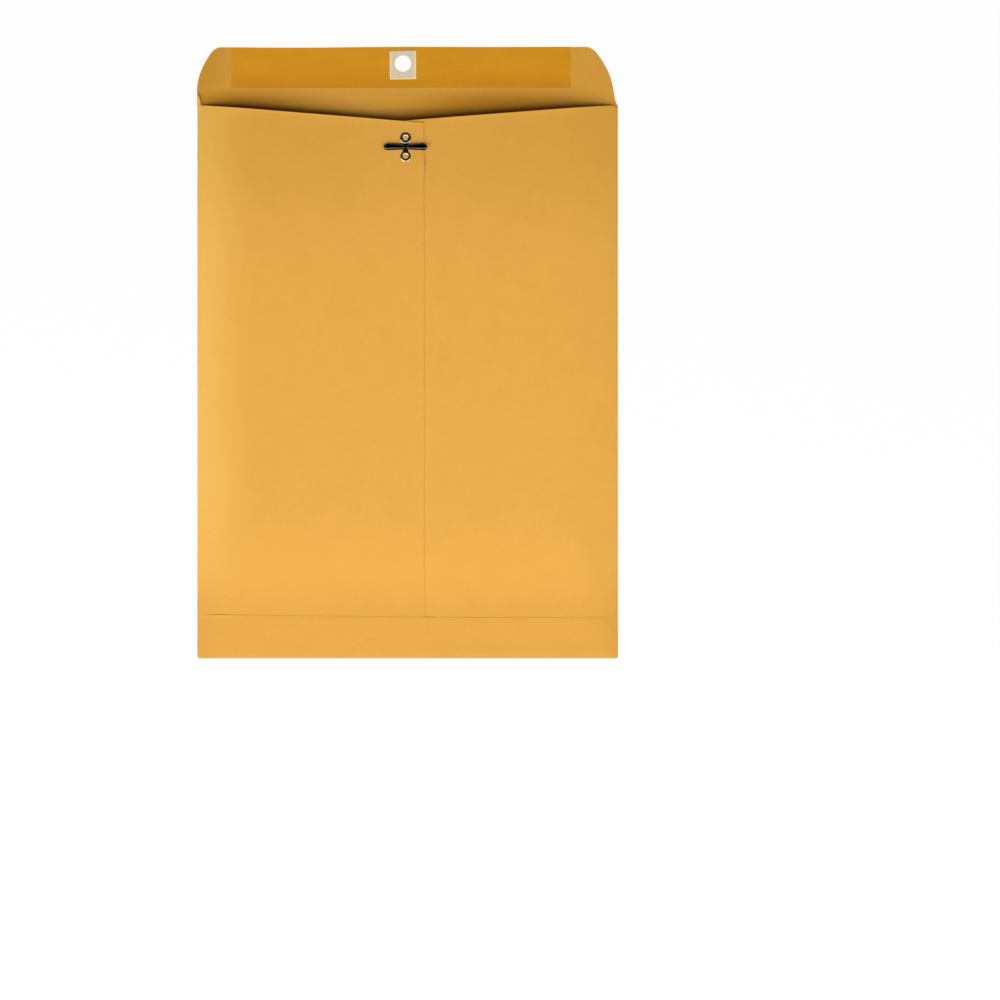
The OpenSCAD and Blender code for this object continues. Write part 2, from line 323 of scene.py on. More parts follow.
# Painted shade: darker tones painted along the score and in the throat.
PAINTED_SCORE_SHADE = ((0.482, 0.213, 0.0165, 1), (0.426, 0.182, 0.0115, 1))
FRESH = ((0.86, 0.52, 0.14, 1), (0.78, 0.44, 0.10, 1))
# Outside: painted sheen along the left fold and painted shade at the mouth and the bottom.
KRAFT = kraft("kraft_paper", PALE, DARK, SPECK, PAINTED_SHEEN, painted_sheen_near_left_fold, painted_shade_at_ends)
# Inside: darker tones, partly a duller inner face and partly painted shade.
DULL_AND_PAINTED_SHADE = ((0.70, 0.357, 0.056, 1), (0.622, 0.303, 0.041, 1))
KRAFT_INSIDE_PAINTED_SHADE = kraft("kraft_inside", *DULL_AND_PAINTED_SHADE, SPECK, PAINTED_SCORE_SHADE, painted_shade_near_score, gloss=0.06)
KRAFT_CUT = kraft("kraft_cut_edge", *FRESH, SPECK, FRESH, painted_shade_near_score)
print("kraft materials:", KRAFT.name, KRAFT_INSIDE_PAINTED_SHADE.name, KRAFT_CUT.name)

# %% [markdown]
# ## Gum, patch paper and paste
# Dried gum soaks the kraft and makes it darker, yellower and a little shiny, with the streaks of the roller
# that put it on. Its inner part, towards the mouth, is painted darker as painted shade. The patch is a strong
# beige paper with long fibres. Dried paste is dull and off-white. Each is the same kind of tree with its own
# tones and sizes.

# %% Gum, patch and paste materials
GUM_PALE = (0.713, 0.314, 0.0144, 1)
GUM_DARK = (0.612, 0.254, 0.0086, 1)
GUM_SPECK = (0.36, 0.13, 0.01, 1)
# Painted shade: the share of its colour that the gum keeps at its inner edge.
GUM_PAINTED_SHADE = (0.9, 0.89, 0.9, 1)


def gum_film(name):
    """Thin dried gum over kraft."""
    material, start = new_material(name)
    clouds, grain, fibres, _, specks = paper_patterns(start)
    plan = start.node("ShaderNodeUVMap", {"uv_map": PLAN})
    rolled = start.node("ShaderNodeMapping", {}, {"Vector": plan, "Scale": (28.0, 260.0, 1.0)})
    streaks = start.node("ShaderNodeTexNoise", {}, {"Vector": rolled, "Scale": 1.0, "Detail": 4.0})
    tone = 0.5 + (clouds - 0.5) * 0.9 + (grain - 0.5) * 0.5 + (streaks - 0.5) * 0.8
    colour = tone.clamped().mix(GUM_PALE, GUM_DARK)
    colour = (specks * 0.3).mix(colour, GUM_SPECK)
    # Painted shade: the gum is painted darker towards its inner edge, near the mouth.
    painted_gum_shade = 1 - plan.part(1).between(FOLD_Y + 10 * MM, FOLD_Y + 22 * MM)
    colour = painted_gum_shade.mix(colour, GUM_PAINTED_SHADE, "MULTIPLY")
    roughness = 0.36 + (streaks - 0.5) * 0.25 + (grain - 0.5) * 0.1
    height = grain * 0.3 + streaks * 0.4 + fibres * 0.2
    bump = start.node("ShaderNodeBump", {}, {"Strength": 0.2, "Distance": 0.00004, "Height": height})
    finish_material(start, {"Specular IOR Level": 0.25}, colour, roughness, bump)
    return material


def plain_paper(name, pale, dark, rough):
    """A paper or film with soft fibres between two tones."""
    material, start = new_material(name)
    clouds, grain, fibres, cross, _ = paper_patterns(start)
    tone = 0.5 + (clouds - 0.5) * 0.6 + (fibres - 0.5) * 1.1 + (cross - 0.5) * 0.9
    colour = tone.clamped().mix(pale, dark)
    roughness = rough + (grain - 0.5) * 0.15
    bump = start.node("ShaderNodeBump", {}, {"Strength": 0.3, "Distance": 0.00008, "Height": fibres + cross})
    finish_material(start, {"Specular IOR Level": 0.35}, colour, roughness, bump)
    return material


GUM = gum_film("dried_gum")
PATCH = plain_paper("patch_paper", (0.766, 0.66, 0.479, 1), (0.632, 0.522, 0.354, 1), 0.6)
# Painted highlight: a paler tone for the patch's raised rim.
PATCH_PAINTED_HIGHLIGHT = plain_paper("patch_painted_highlight", (0.95, 0.78, 0.50, 1), (0.90, 0.70, 0.42, 1), 0.6)
PASTE = plain_paper("dry_paste", (0.86, 0.79, 0.60, 1), (0.76, 0.68, 0.48, 1), 0.7)
print("film materials:", GUM.name, PATCH.name, PASTE.name)

# %% [markdown]
# ## Clasp metal
# The clasp is stamped from thin steel with a dark, polished finish. It looks black where it mirrors nothing
# and flashes where it mirrors a lamp. A metal shader with a dark colour does that. The rings were rubbed when
# they were clinched, so they are brighter than the prongs. Fine drawing lines, a few dull patches from
# handling and a slight roll of the surface keep it from looking like glass.

# %% Metal material
def dark_metal(name, clean, lighter):
    """Dark polished sheet steel; its pattern reads Object coordinates, because the clasp is rigid."""
    material, start = new_material(name)
    place = start.node("ShaderNodeTexCoord", {}, {}, output="Object")
    drawn = start.node("ShaderNodeMapping", {}, {"Vector": place, "Scale": (350.0, 5200.0, 5200.0)})
    lines = start.node("ShaderNodeTexNoise", {}, {"Vector": drawn, "Scale": 1.0, "Detail": 2.0})
    dull = start.node("ShaderNodeTexNoise", {}, {"Vector": place, "Scale": 900.0, "Detail": 4.0})
    paler_share = dull.between(0.52, 0.72)
    colour = (paler_share * 0.6 + lines * 0.3).mix(clean, lighter)
    roughness = 0.10 + paler_share * 0.08 + lines * 0.05
    height = lines * 0.4 + dull * 0.6
    bump = start.node("ShaderNodeBump", {}, {"Strength": 0.12, "Distance": 0.00004, "Height": height})
    finish_material(start, {"Metallic": 1.0}, colour, roughness, bump)
    return material


METAL = dark_metal("clasp_metal", (0.030, 0.029, 0.0285, 1), (0.075, 0.073, 0.070, 1))
RING_METAL = dark_metal("ring_metal", (0.38, 0.37, 0.355, 1), (0.55, 0.535, 0.51, 1))
print("metal materials:", METAL.name, RING_METAL.name)

# %% [markdown]
# ## Sheets
# Every paper piece is a thin closed sheet: an upper grid of points, a lower one, and a wall round the rim.
# A plane with a Solidify modifier would do for a flat one, but here the thickness runs out to nothing at a
# fold and the edges curl, so both grids are given. The walls are marked as cut edges, and the UV map is the
# plan of the blank in metres.

# %% Grid helpers
def smooth(value, low, high):
    """0 below low, 1 above high, a smooth step between them."""
    share = np.clip((np.asarray(value, float) - low) / (high - low), 0, 1)
    return share * share * (3 - 2 * share)


def spread(start, end, step, near_start=(), near_end=()):
    """Positions from start to end about one step apart, with extra ones at given distances from the ends."""
    low = start + max(near_start, default=0)
    high = end - max(near_end, default=0)
    middle = np.linspace(low, high, max(2, int(round((high - low) / step)) + 1))
    first = [start + d for d in near_start]
    last = [end - d for d in near_end]
    return np.unique(np.round(np.concatenate([first, middle, last]), 9))


print("steps of 2.5 mm up to 10 mm:", 1000 * spread(0, 10 * MM, 2.5 * MM))

# %% Mesh helpers
def link(name, mesh, materials):
    """A new object at the origin that shows a mesh."""
    piece = bpy.data.objects.new(name, mesh)
    bpy.context.scene.collection.objects.link(piece)
    mesh.materials.clear()
    for material in materials:
        mesh.materials.append(material)
    return piece


def plan_uv(mesh):
    """Lays the UV map flat on the blank: u is x and v is y, in metres."""
    layer = mesh.uv_layers.get(PLAN) or mesh.uv_layers.new(name=PLAN)
    corners = np.empty(len(mesh.loops), np.int32)
    mesh.loops.foreach_get("vertex_index", corners)
    points = np.empty(len(mesh.vertices) * 3, np.float32)
    mesh.vertices.foreach_get("co", points)
    layer.data.foreach_set("uv", points.reshape(-1, 3)[corners, :2].ravel())


def soften(mesh, degrees=38):
    """Smooth shading, with edges kept sharp where faces meet at more than this angle."""
    mesh.polygons.foreach_set("use_smooth", np.ones(len(mesh.polygons), bool))
    mesh.set_sharp_from_angle(angle=math.radians(degrees))
    mesh.update()


def settle(piece):
    """Turns what the modifiers make into the piece's own mesh, and removes them."""
    graph = bpy.context.evaluated_depsgraph_get()
    mesh = bpy.data.meshes.new_from_object(piece.evaluated_get(graph), depsgraph=graph)
    old = piece.data
    piece.modifiers.clear()
    piece.data = mesh
    bpy.data.meshes.remove(old)
    mesh.name = piece.name
    return piece


def cut(piece, cutter):
    """Cuts one closed shape out of a piece."""
    boolean = piece.modifiers.new("cut", "BOOLEAN")
    boolean.operation = "DIFFERENCE"
    boolean.solver = "EXACT"
    boolean.object = cutter
    settle(piece)
    bpy.data.meshes.remove(cutter.data)
    plan_uv(piece.data)
    soften(piece.data)
    return piece


print("mesh helpers ready")

# %% Sheet builder
CUT = "cut_edge"


def sheet(name, x, y, top, bottom, materials):
    """A closed sheet between two grids of heights over the same grid of plan points.

    The materials are those of the faces, of the cut edges and, where it differs, of the upper face.
    """
    x, y, top, bottom = np.broadcast_arrays(x, y, top, bottom)
    rows, columns = x.shape
    count = rows * columns
    points = [np.stack([x, y, z], -1).reshape(-1, 3) for z in (top, bottom)]
    index = np.arange(count).reshape(rows, columns)
    corners = [index[:-1, :-1], index[:-1, 1:], index[1:, 1:], index[1:, :-1]]
    quads = np.stack(corners, -1).reshape(-1, 4)
    rim = np.concatenate([index[0], index[1:, -1], index[-1, -2::-1], index[-2:0:-1, 0]])
    after = np.roll(rim, -1)
    walls = np.stack([rim + count, after + count, after, rim], -1)
    faces = np.concatenate([quads, quads[:, ::-1] + count, walls])
    mesh = bpy.data.meshes.new(name)
    mesh.from_pydata(np.concatenate(points).tolist(), [], faces.tolist())
    marks = np.zeros(len(faces), bool)
    marks[2 * len(quads):] = True
    mesh.attributes.new(CUT, "BOOLEAN", "FACE").data.foreach_set("value", marks)
    plan_uv(mesh)
    piece = link(name, mesh, materials)
    if len(materials) > 1:
        uses = marks.astype(np.int32)
        uses[:len(quads)] = 2 if len(materials) > 2 else 0
        mesh.polygons.foreach_set("material_index", uses)
    soften(mesh)
    return piece


def tell(piece):
    """Prints a piece's size and face count."""
    low = [min(v.co[i] for v in piece.data.vertices) for i in range(3)]
    high = [max(v.co[i] for v in piece.data.vertices) for i in range(3)]
    size = " x ".join(f"{1000 * (b - a):.2f}" for a, b in zip(low, high))
    print(f"{piece.name}: {size} mm, {len(piece.data.polygons)} faces")


print("sheet builder ready")

# %% [markdown]
# ## The puffed pocket
# A folded envelope isn't flat: the back springs up from the side folds and from the bottom fold and comes
# level further in. The height follows one rule for every layer of the back, so the rule is a Geometry Nodes
# tree, and each layer is a flat sheet that the tree lifts. Modelling each layer by hand would let them cut
# into each other. A little noise in the height makes the paper uneven, the same for all layers.

# %% Height rule
def new_tree(name, inputs):
    """A Geometry Nodes tree, a wire to start it with, and one wire for each named input."""
    tree = bpy.data.node_groups.new(name, "GeometryNodeTree")
    for label, kind in inputs.items():
        tree.interface.new_socket(name=label, in_out="INPUT", socket_type=f"NodeSocket{kind}")
    tree.interface.new_socket(name="Geometry", in_out="OUTPUT", socket_type="NodeSocketGeometry")
    given = tree.nodes.new("NodeGroupInput")
    return tree, Wire(tree), [Wire(tree, given.outputs[label]) for label in inputs]


def puffed_tree():
    """Lifts a flat layer of the back to its height above the folds."""
    tree, start, given = new_tree("puffed_pocket", {
        "Geometry": "Geometry", "Half Width": "Float", "Bottom": "Float", "Side Ramp": "Float",
        "Bottom Ramp": "Float", "Pocket Gap": "Float", "Lap Rise": "Float", "Level": "Float",
        "Unevenness": "Float", "Paper": "Material", "Cut Edge": "Material"})
    layer, half_w, bottom, side_ramp, end_ramp, gap, lap, level, uneven, paper, cut_edge = given
    place = start.node("GeometryNodeInputPosition")
    x, y = place.part(0), place.part(1)
    side_share = start.math("DIVIDE", half_w - x.math("ABSOLUTE", x), side_ramp, clamp=True)
    end_share = start.math("DIVIDE", y - bottom, end_ramp, clamp=True)
    side_drop = (1 - side_share) ** 2
    end_drop = (1 - end_share) ** 2
    drop = (side_drop ** 3 + end_drop ** 3 - (side_drop * end_drop) ** 3) ** (1 / 3)
    flat = start.vector(x, y)
    noise = start.node("ShaderNodeTexNoise", {}, {"Vector": flat, "Scale": 17.0, "Detail": 1.0})
    height = level + lap * (1 - side_drop) + (1 - drop) * (gap + (noise - 0.5) * uneven)
    moved = start.node("GeometryNodeSetPosition", {}, {0: layer, "Offset": start.vector(z=height)})
    real = start.node("GeometryNodeRealizeInstances", {}, {0: moved})
    sheeted = start.node("GeometryNodeSetMaterial", {}, {0: real, 2: paper})
    edges = start.node("GeometryNodeInputNamedAttribute", {"data_type": "BOOLEAN"}, {"Name": CUT})
    edged = start.node("GeometryNodeSetMaterial", {}, {0: sheeted, 1: edges, 2: cut_edge})
    start.node("NodeGroupOutput", {}, {0: edged})
    return tree


def set_inputs(modifier, values):
    """Sets a node modifier's inputs by the identifiers of their sockets."""
    for item in modifier.node_group.interface.items_tree:
        if item.item_type == "SOCKET" and item.in_out == "INPUT" and item.name in values:
            modifier[item.identifier] = values[item.name]


PUFFED = puffed_tree()
UNEVEN = 0.5 * MM


def puff(piece, level, lap, paper=KRAFT, edge=KRAFT_CUT):
    """Lifts a flat layer by the height rule."""
    modifier = piece.modifiers.new("puff", "NODES")
    modifier.node_group = PUFFED
    set_inputs(modifier, {"Half Width": HALF_W, "Bottom": BOTTOM_Y, "Side Ramp": SIDE_RAMP,
                          "Bottom Ramp": BOTTOM_RAMP, "Pocket Gap": POCKET_GAP, "Lap Rise": lap,
                          "Level": level, "Unevenness": UNEVEN, "Paper": paper, "Cut Edge": edge})
    settle(piece)
    soften(piece.data)
    return piece


print("height rule inputs:", sum(i.item_type == "SOCKET" for i in PUFFED.interface.items_tree))

# %% [markdown]
# ## Front and seal flap
# The front of the pocket and the seal flap are one piece of paper with a scored line between them, so one
# sheet stands for both. Its rows follow the outline: straight sides, a shoulder at the right, two large round
# corners and an outer edge that isn't quite straight. The rows are close together at the score, where the
# paper rolls over when the flap closes. A low ridge there is the mark of the score.

# %% Flap outline
FLAP_DEPTH = FLAP_TOP - FOLD_Y
FOLD_ROUND = 0.5 * MM
LEFT_TURN = 10.6 * MM
LEFT_TURN_FROM = 8 * MM
RIGHT_TURN = 8.2 * MM
RIGHT_TURN_FROM = 10 * MM
SHOULDER_W = 1.0 * MM
SHOULDER_SLANT = 0.175
BOTTOM_CORNER_R = 1.5 * MM
FLAP_CORNER_R = 3 * MM


def quarter(distance, radius):
    """Height that a round corner of this radius has lost at a distance from its edge."""
    inner = np.clip(radius - distance, 0, radius)
    return radius - np.sqrt(np.maximum(radius ** 2 - inner ** 2, 0))


def outline(y):
    """Left and right end of the blank at a height y."""
    reach = np.maximum(y - FOLD_Y, 0)
    left_share = np.maximum(reach - LEFT_TURN_FROM, 0) / (FLAP_DEPTH - LEFT_TURN_FROM)
    left_turn = LEFT_TURN * left_share ** 1.95 - 0.25 * MM * smooth(reach, 0, 6 * MM)
    right_share = np.maximum(reach - RIGHT_TURN_FROM, 0) / (FLAP_DEPTH - RIGHT_TURN_FROM)
    right_turn = RIGHT_TURN * right_share ** 2.1
    shoulder = SHOULDER_W * (1 - np.exp(-reach / (1.2 * MM))) + SHOULDER_SLANT * reach
    corner = quarter(y - BOTTOM_Y, BOTTOM_CORNER_R) + quarter(FLAP_TOP - y, FLAP_CORNER_R)
    return -HALF_W + left_turn + corner, HALF_W - right_turn - shoulder - corner


def outer_wave(x, y):
    """How far the outer edge of the flap strays from a straight line, fading towards the score."""
    wave = 0.2 * np.sin(x / (41 * MM) + 0.5) + 0.12 * np.sin(x / (17 * MM) + 2.0) - 0.3
    return wave * MM * smooth(y, FOLD_Y + 8 * MM, FLAP_TOP)


corner_x = float(outline(np.array([FLAP_TOP]))[1][0])
print(f"flap corner starts {1000 * corner_x:.1f} mm right of the middle")

# %% Front and flap sheet
THINNEST = 0.01 * MM
SCORE_H = 0.05 * MM
SIDE_ROUND = 0.19 * MM
edge_steps = [0, 0.03 * MM, 0.08 * MM, 0.14 * MM, 0.2 * MM]
fold_steps = [0, 0.04 * MM, 0.1 * MM, 0.2 * MM, 0.32 * MM, FOLD_ROUND, 0.9 * MM, 1.3 * MM]
corner_steps = [0, 0.05 * MM, 0.15 * MM, 0.35 * MM, 0.65 * MM, 1.05 * MM, 1.6 * MM, 2.3 * MM, 3 * MM]
front_rows = np.concatenate([
    spread(BOTTOM_Y, FOLD_Y - 8 * MM, 9 * MM, near_start=fold_steps),
    spread(FOLD_Y - 8 * MM, FOLD_Y - 3 * MM, 1 * MM)[1:],
    spread(FOLD_Y - 3 * MM, FOLD_Y + 3 * MM, 0.2 * MM)[1:],
    spread(FOLD_Y + 3 * MM, FLAP_TOP, 1.3 * MM, near_end=corner_steps)[1:]])
shares = spread(-HALF_W, HALF_W, 4.5 * MM, near_start=edge_steps, near_end=edge_steps) / HALF_W
left_end, right_end = outline(front_rows)
front_x = (left_end + right_end)[:, None] / 2 + (right_end - left_end)[:, None] / 2 * shares
front_y = np.repeat(front_rows[:, None], len(shares), 1)
from_side = HALF_W - np.abs(front_x)
from_bottom = front_y - BOTTOM_Y
in_pocket = 1 - smooth(front_y, FOLD_Y - 4 * MM, FOLD_Y)
score = SCORE_H * (1 - smooth(np.abs(front_y - FOLD_Y), 0.4 * MM, 2.4 * MM))
under = np.maximum(quarter(from_side, SIDE_ROUND) * in_pocket, quarter(from_bottom, FOLD_ROUND))
over = PAPER + quarter(np.maximum(from_bottom - PAPER, 0), FOLD_ROUND - PAPER)
over = np.maximum(over, under + THINNEST)
front = sheet("front_and_flap", front_x, front_y + outer_wave(front_x, front_y), over + score, under + score,
              [KRAFT, KRAFT_CUT, KRAFT_INSIDE_PAINTED_SHADE])
tell(front)

# %% Hole in the flap
def round_cutter(middle, radius):
    """A closed cylinder through the flap."""
    mesh = bpy.data.meshes.new("hole_cutter")
    shape = bmesh.new()
    bmesh.ops.create_cone(shape, cap_ends=True, segments=96, radius1=radius, radius2=radius, depth=4 * MM)
    bmesh.ops.translate(shape, vec=(middle.x, middle.y, 0), verts=shape.verts)
    shape.to_mesh(mesh)
    shape.free()
    return link("hole_cutter", mesh, [])


cut(front, round_cutter(HOLE_AT, HOLE_R))
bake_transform(front)
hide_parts("front_panel", "seal_flap")
tell(front)

# %% [markdown]
# ## Corner tuck
# At the left end of the score the side fold runs a little way up into the flap, so a small pointed corner of
# the left panel lies on the flap's root. It is a small sheet of its own that spans the score, from just below
# it to a few millimetres above it.

# %% Corner tuck
TUCK_FROM = 1.2 * MM
TUCK_TO = 7.2 * MM
TUCK_W = 2.0 * MM
TUCK_PAST = 0.12 * MM
TUCK_OFF = 0.25 * MM
TUCK_RISE = 0.75 * MM
tuck_y = spread(FOLD_Y - TUCK_FROM, FOLD_Y + TUCK_TO, 0.25 * MM)
tuck_reach = (tuck_y - FOLD_Y)[:, None]
tuck_edge = -HALF_W + 0.05 * MM + TUCK_W * (1 - smooth(tuck_reach, 0.2 * MM, 8.6 * MM))
tuck_share = np.linspace(0, 1, 7)[None, :]
tuck_x = -HALF_W - TUCK_PAST + (tuck_edge + HALF_W + TUCK_PAST) * tuck_share
tuck_under = PAPER + TUCK_OFF + TUCK_RISE * tuck_share * (1 - smooth(tuck_reach, 5 * MM, TUCK_TO))
tuck = sheet("left_corner_tuck", tuck_x, tuck_y[:, None] + 0 * tuck_x, tuck_under + PAPER, tuck_under,
             [KRAFT, KRAFT_CUT])
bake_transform(tuck)
tell(tuck)

# %% [markdown]
# ## Back panels
# The left panel laps over the right one at the centre seam. Their upper edges slope down to the seam and
# form the throat. A cut edge of paper under tension curls up a little, which is why the throat shows as a
# thin bright line. The seam stands up slightly from the throat to a few centimetres below the clasp, and just
# below the clasp it has come loose for a centimetre. All are small lifts of the flat sheet before the height
# rule is applied.

# %% Throat and folds
CURL_REACH = 1.7 * MM


def throat(x, from_x, to_x, dip, corner):
    """Upper edge of a back panel: from the fold line at from_x down to the dip at to_x."""
    line = FOLD_Y - dip * np.clip((x - from_x) / (to_x - from_x), 0, 1)
    return line - quarter(HALF_W - np.abs(x), corner)


def back_grids(columns, edge_of, curl_of):
    """Plan points and heights of a flat back panel, thin at its side fold and curled at its throat edge."""
    low = BOTTOM_Y + FOLD_ROUND
    rows = spread(0, 1, 0.011, near_end=[0, 0.0008, 0.0018, 0.003, 0.005, 0.0075, 0.011, 0.016])
    x = np.repeat(columns[None, :], len(rows), 0)
    y = low + (edge_of(x) - low) * rows[:, None]
    below_edge = edge_of(x) - y
    from_fold = HALF_W - np.abs(x)
    curl = curl_of(x) * np.exp(-below_edge / CURL_REACH) * smooth(from_fold, 0, 30 * MM)
    thick = np.maximum(PAPER - quarter(from_fold, PAPER), THINNEST)
    return x, y, curl + thick, curl


throat_y = float(throat(SEAM_X, -HALF_W, SEAM_X, LEFT_DIP, 1 * MM))
print(f"throat depth {1000 * (FOLD_Y - throat_y):.1f} mm")

# %% Left panel
LOOSE_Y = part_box("lower_ring")[0].y - 0.9 * MM
SPRUNG = 0.22 * MM
LOOSE_LIFT = 0.5 * MM
LOOSE_SHIFT = 0.45 * MM
STRAY_BELOW = 0.35 * MM
STRAY_MORE = 0.45 * MM
seam_steps = [0, 0.2 * MM, 0.5 * MM, 0.9 * MM, 1.5 * MM, 2.2 * MM, 3 * MM, 4 * MM, 5.5 * MM]
left_columns = spread(-HALF_W, SEAM_X, 2.6 * MM, near_start=edge_steps, near_end=seam_steps)
x, y, top, bottom = back_grids(
    left_columns,
    lambda at: throat(at, -HALF_W, SEAM_X, LEFT_DIP, 1.2 * MM),
    lambda at: 0.2 * MM + 0.1 * MM * smooth(SEAM_X - at, 4 * MM, 30 * MM))
from_seam = SEAM_X - x
sprung = SPRUNG * smooth(y, FOLD_Y - 62 * MM, FOLD_Y - 44 * MM)
at_seam = (sprung - 0.02 * MM) * np.exp(-from_seam / (1.6 * MM))
top = top - 0.05 * MM * np.exp(-from_seam / (0.35 * MM))
stray = -STRAY_BELOW - STRAY_MORE * smooth(y, FOLD_Y - 75 * MM, FOLD_Y - 50 * MM)
loose_reach = np.where(y > LOOSE_Y, 4.5 * MM, 6 * MM)
loose = np.exp(-((y - LOOSE_Y) / loose_reach) ** 2) * np.exp(-(from_seam / (3.2 * MM)) ** 2)
lift = LOOSE_LIFT * loose + at_seam
x = x + LOOSE_SHIFT * loose + stray * np.exp(-from_seam / (8 * MM))
left_panel = sheet("left_panel", x, y, top + lift, bottom + lift, [KRAFT, KRAFT_CUT])
puff(left_panel, PAPER, LAP_RISE)
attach(left_panel, "pocket")
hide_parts("left_back_panel")
tell(left_panel)

# %% Right panel
right_columns = spread(LAP_X, HALF_W, 2.6 * MM, near_end=edge_steps)
x, y, top, bottom = back_grids(
    right_columns,
    lambda at: throat(at, HALF_W, LAP_X, RIGHT_DIP, 2 * MM),
    lambda at: 0.3 * MM * smooth(at, SEAM_X, SEAM_X + 20 * MM))
right_panel = sheet("right_panel", x, y, top, bottom, [KRAFT, KRAFT_CUT])
puff(right_panel, PAPER, 0.0)
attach(right_panel, "pocket")
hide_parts("right_back_panel")
tell(right_panel)

# %% [markdown]
# ## Bottom flap
# The bottom flap folds up from the front and is pasted over both panels. Its upper corners are cut at a slant
# and its edge isn't quite level. The paste rollers have pressed it thin. It comes down a step where the lap
# ends, its edge lies down on the panels where the paste stops short, and it stands off a little near the left
# corner, so it draws a fine line that is darker there.

# %% Bottom flap
FLAP_INSET = 0.25 * MM
BOTTOM_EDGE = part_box("bottom_flap")[1].y
CORNER_W = 6 * MM
CORNER_H = 6.4 * MM
CORNER_SHOWN = 5.8 * MM
PRESSED = 0.09 * MM
end_steps = [0, 0.5 * MM, 1.1 * MM, 1.8 * MM, 2.6 * MM, 3.5 * MM, 4.6 * MM, 5.6 * MM, 6 * MM, 6.5 * MM]
flap_end = HALF_W - FLAP_INSET
x = spread(-flap_end, flap_end, 2.4 * MM, near_start=end_steps, near_end=end_steps)[None, :]
from_end = flap_end - np.abs(x)
sag = -0.95 * MM * np.sin((x + 55 * MM) / (75 * MM))
edge_y = BOTTOM_EDGE + sag - CORNER_H * np.clip(1 - from_end / CORNER_W, 0, 1)
low_y = BOTTOM_Y + quarter(from_end + FLAP_INSET, BOTTOM_CORNER_R)
rise_steps = np.array([0, 0.002, 0.005, 0.01, 0.016, 0.021, 0.04, 0.07])
rows = np.concatenate([rise_steps, np.linspace(0.11, 0.85, 16), [0.9, 0.94, 0.97, 0.985, 0.993, 1]])[:, None]
y = low_y + (edge_y - low_y) * rows
from_fold = y - low_y
stand_off = 0.2 * np.exp(-((x + 106 * MM) / (7 * MM)) ** 2) + 0.02 * np.sin(x / (23 * MM) + 1.1) - 0.07
side_slope = 1 - np.clip(1 - (HALF_W - np.abs(x)) / SIDE_RAMP, 0, 1) ** 2
past_seam = side_slope * smooth(x, SEAM_X, SEAM_X + 6 * MM) * smooth(from_fold, 0, 12 * MM)
lift = stand_off * MM * np.exp(-(edge_y - y) / (1.6 * MM)) - LAP_RISE * past_seam
pressed = PRESSED * smooth(from_fold, 1 * MM, 12 * MM)
top = PAPER - quarter(from_fold, FOLD_ROUND) + lift - pressed
bottom = -quarter(np.maximum(from_fold - PAPER, 0), FOLD_ROUND - PAPER) + lift
bottom = np.minimum(bottom, top - THINNEST)
bottom_flap = sheet("bottom_flap_paper", x + 0 * y, y, top, bottom, [KRAFT, KRAFT_CUT])
# At the slanted corners the two outer rows of faces show fresh fibres, as the cut edge does.
columns = x.shape[1] - 1
fresh = bottom_flap.data.attributes[CUT].data
for number in range((len(rows) - 3) * columns, (len(rows) - 1) * columns):
    fresh[number].value = bool(from_end[0, number % columns] < CORNER_SHOWN)
puff(bottom_flap, 2 * PAPER + GLUE, LAP_RISE)
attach(bottom_flap, "pocket")
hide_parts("bottom_flap")
tell(bottom_flap)

# %% [markdown]
# ## Paste films
# Dried paste holds the centre seam and the bottom flap. It can't be seen from outside, but the solid model
# has it, so it is here too: thin films lifted by the same height rule, with a margin of bare paper.

# %% Paste films
FILM_GAP = 0.01 * MM
FILM_UNDER = PAPER + FILM_GAP
FILM_TOP = PAPER + GLUE - FILM_GAP
film_low, film_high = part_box("seam_glue")
film_x = spread(film_low.x, film_high.x, 3 * MM)[None, :]
film_y = spread(film_low.y, film_high.y, 4 * MM)[:, None]
seam_film = sheet("seam_paste", film_x, film_y, FILM_TOP, FILM_UNDER, [PASTE])
puff(seam_film, PAPER, 0.0, PASTE, PASTE)
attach(seam_film, "pocket")
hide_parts("seam_glue")
tell(seam_film)

# %% Paste under the bottom flap
paste_low, paste_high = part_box("bottom_glue")
SEAM_BARE = film_low.x - LAP_X
paste_y = spread(paste_low.y + 0.5 * MM, paste_high.y, 3 * MM)[:, None]
for side, start_x, end_x, lap in (("left", paste_low.x, SEAM_X - SEAM_BARE, LAP_RISE),
                                  ("right", SEAM_X + SEAM_BARE, paste_high.x, 0.0)):
    x = spread(start_x, end_x, 4 * MM)[None, :]
    film = sheet(f"bottom_paste_{side}", x, paste_y, FILM_TOP, FILM_UNDER, [PASTE])
    puff(film, PAPER, lap, PASTE, PASTE)
    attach(film, "pocket")
    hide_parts("bottom_glue")
    tell(film)

# %% [markdown]
# ## Gum strip
# The gum is a film only a few hundredths of a millimetre thick along the outer edge of the flap, with a bare
# window for the patch. It follows the flap's edge, so its upper rows stray with the same wave.

# %% Gum strip
gum_low, gum_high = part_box("gum_strip")
patch_low, patch_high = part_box("hole_patch")
PATCH_TURN = math.radians(1.2)
PATCH_W = 15.0 * MM
PATCH_H = 16.2 * MM
PATCH_GAP = 0.2 * MM
OFF_FLAP = 0.003 * MM
PATCH_AT = (patch_low + patch_high) / 2
gum_x = spread(gum_low.x, gum_high.x, 4 * MM)[None, :]
gum_y = spread(gum_low.y, gum_high.y - 0.05 * MM, 1.6 * MM)[:, None]
uneven_end = 0.12 * MM * np.sin(gum_x / (31 * MM)) * (gum_high.y - gum_y) / (gum_high.y - gum_low.y)
gum = sheet("gum_film", gum_x + 0 * gum_y, gum_y + outer_wave(gum_x, gum_y) + uneven_end,
            gum_high.z, gum_low.z + OFF_FLAP, [GUM])


